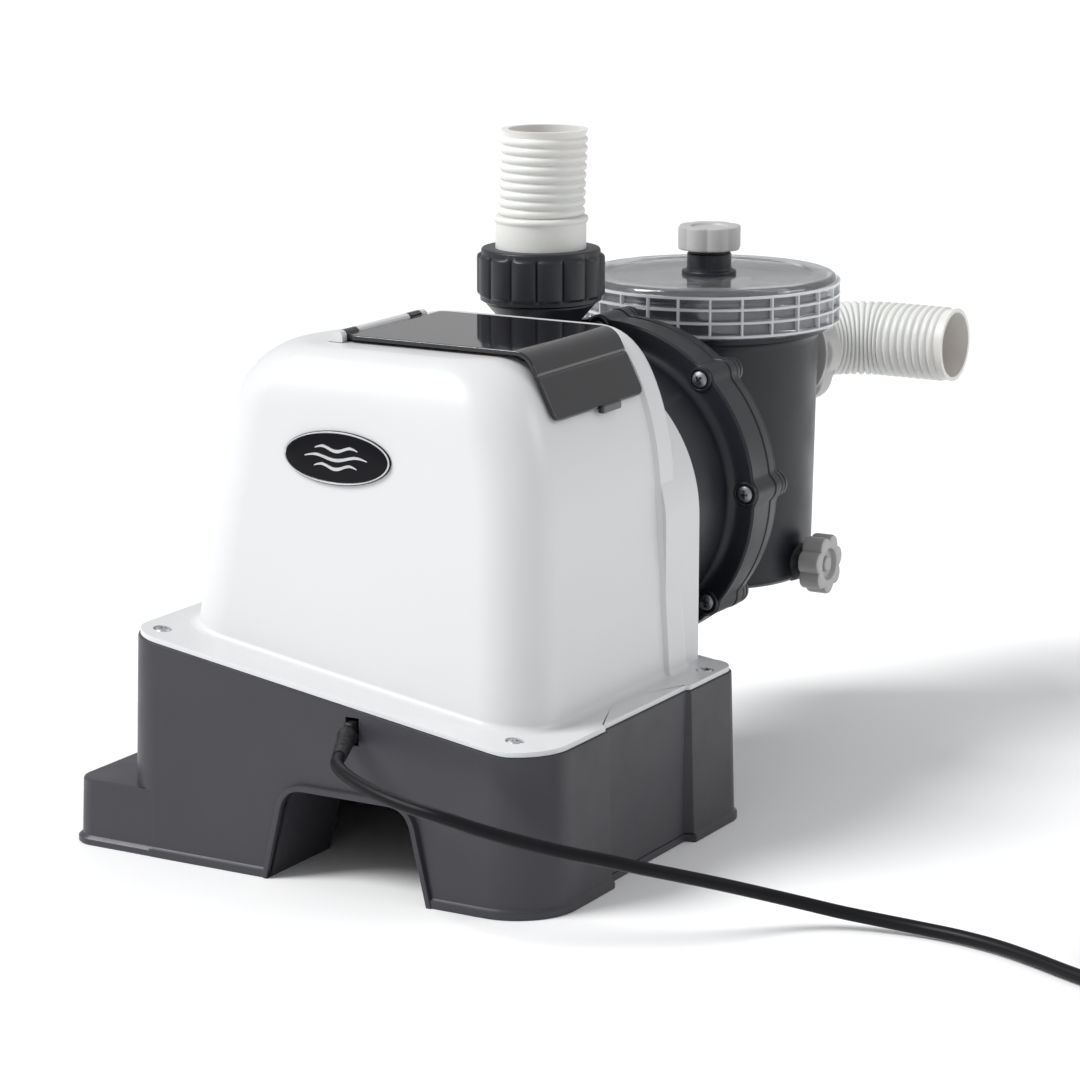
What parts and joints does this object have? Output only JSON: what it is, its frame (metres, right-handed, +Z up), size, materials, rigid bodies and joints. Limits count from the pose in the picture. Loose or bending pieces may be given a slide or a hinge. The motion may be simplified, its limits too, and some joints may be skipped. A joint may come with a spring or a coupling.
{
  "type": "salt chlorine generator",
  "caption": "Pool salt chlorine generator: white control housing on a dark base, with a circulation pump, strainer pot, flip-up control cover, hose unions and power cord.",
  "frame": {"origin": "on the floor under the middle of the machine, leaving out its free power cord", "axes": "+X to the right along the housing's front face, +Y from the front to the strainer behind, +Z up"},
  "size_m": [0.6873, 0.624, 0.368],
  "materials": {
    "housing_white": "smooth semi-gloss moulding",
    "base_grey": "satin moulding with a faint grain",
    "pump_charcoal": "satin moulding",
    "smoked_cover": "glossy, see-through smoked plastic",
    "clear_lid": "clear polished plastic",
    "knob_grey": "matte moulding",
    "hose_ivory": "satin moulding",
    "black_plastic": "satin moulding",
    "black_rubber": "soft matte rubber",
    "steel": "bright stainless steel",
    "laminations": "dull stacked steel sheet",
    "motor_metal": "grey enamel",
    "capacitor_case": "matte moulding",
    "winding_copper": "enamelled copper wire",
    "plate_titanium": "dull coated titanium",
    "board_green": "solder-masked board",
    "display_red": "dark tinted window"
  },
  "bodies": {
    "machine": {"upper_housing": "housing_white", "base": "base_grey", "control_panel": "base_grey", "pump_volute": "pump_charcoal", "seal_plate": "pump_charcoal", "strainer_front": "pump_charcoal", "strainer_body": "pump_charcoal", "inlet_port": "pump_charcoal", "motor_rear_bracket": "pump_charcoal", "fan_cowl": "pump_charcoal", "strainer_basket": "knob_grey", "outlet_hose_tail": "hose_ivory", "inlet_hose_tail": "hose_ivory", "badge": "black_plastic", "cover_hinge_block": "black_plastic", "flow_sensor": "black_plastic", "strain_relief": "black_rubber", "outlet_gasket": "black_rubber", "shaft_seal": "black_rubber", "motor_cradle": "black_rubber", "power_cord": "black_rubber", "cord_coil": "black_rubber", "plug": "black_rubber", "front_bearing": "steel", "rear_bearing": "steel", "housing_screw_1": "steel", "housing_screw_2": "steel", "housing_screw_3": "steel", "housing_screw_4": "steel", "ring_screw_1": "steel", "ring_screw_2": "steel", "ring_screw_3": "steel", "ring_screw_4": "steel", "ring_screw_5": "steel", "ring_screw_6": "steel", "ring_screw_7": "steel", "ring_screw_8": "steel", "transformer_core": "laminations", "motor_casing": "motor_metal", "motor_capacitor": "capacitor_case", "stator": "winding_copper", "transformer_winding": "winding_copper", "electrode_plates": "plate_titanium", "control_board": "board_green", "display": "display_red"},
    "cover": {"flip_cover": "smoked_cover"},
    "lock_button_cap": {"lock_button": "knob_grey"},
    "boost_button_cap": {"boost_button": "knob_grey"},
    "clean_button_cap": {"clean_button": "knob_grey"},
    "timer_button_cap": {"timer_button": "knob_grey"},
    "spindle": {"motor_shaft": "steel", "rotor": "laminations", "cooling_fan": "black_plastic", "impeller": "hose_ivory"},
    "lid_carrier": {"lid_seal": "black_rubber"},
    "lid": {"strainer_lid": "clear_lid"},
    "air_release": {"air_release_knob": "knob_grey"},
    "drain": {"drain_knob": "knob_grey"},
    "outlet_union": {"outlet_nut": "pump_charcoal"},
    "inlet_union": {"inlet_nut": "knob_grey"}
  },
  "joints": [
    {"name": "cover_hinge", "type": "hinge", "parent": "machine", "child": "cover", "pos_m": [-0.022, -0.14938, 0.2732], "axis": [0, -1, 0], "range_deg": [0, 115]},
    {"name": "lock_press", "type": "slide", "parent": "machine", "child": "lock_button_cap", "axis": [0, 0, -1], "range_m": [0, 0.0015], "stiffness_N_per_m": 400},
    {"name": "boost_press", "type": "slide", "parent": "machine", "child": "boost_button_cap", "axis": [0, 0, -1], "range_m": [0, 0.0015], "stiffness_N_per_m": 400},
    {"name": "clean_press", "type": "slide", "parent": "machine", "child": "clean_button_cap", "axis": [0, 0, -1], "range_m": [0, 0.0015], "stiffness_N_per_m": 400},
    {"name": "timer_press", "type": "slide", "parent": "machine", "child": "timer_button_cap", "axis": [0, 0, -1], "range_m": [0, 0.0015], "stiffness_N_per_m": 400},
    {"name": "spindle_spin", "type": "hinge", "parent": "machine", "child": "spindle", "pos_m": [0.036, -0.11938, 0.167], "axis": [0, 1, 0], "continuous": true},
    {"name": "lid_rise", "type": "slide", "parent": "machine", "child": "lid_carrier", "axis": [0, 0, 1], "range_m": [0, 0.012]},
    {"name": "lid_turn", "type": "hinge", "parent": "lid_carrier", "child": "lid", "pos_m": [0.036, 0.11262, 0.265], "axis": [0, 0, 1], "range_deg": [0, 720]},
    {"name": "air_release_turn", "type": "hinge", "parent": "lid", "child": "air_release", "pos_m": [0.036, 0.11262, 0.29], "axis": [0, 0, 1], "range_deg": [0, 540]},
    {"name": "drain_turn", "type": "hinge", "parent": "machine", "child": "drain", "pos_m": [0.106, 0.11262, 0.105], "axis": [1, 0, 0], "range_deg": [0, 1080]},
    {"name": "outlet_nut_turn", "type": "hinge", "parent": "machine", "child": "outlet_union", "pos_m": [0.007, -0.03538, 0.287], "axis": [0, 0, 1], "continuous": true},
    {"name": "inlet_nut_turn", "type": "hinge", "parent": "machine", "child": "inlet_union", "pos_m": [0.036, 0.21262, 0.212], "axis": [0, 1, 0], "continuous": true}
  ],
  "couplings": [
    {"joint": "lid_rise", "follows": "lid_turn", "m_per_rad": 0.0009549}
  ]
}
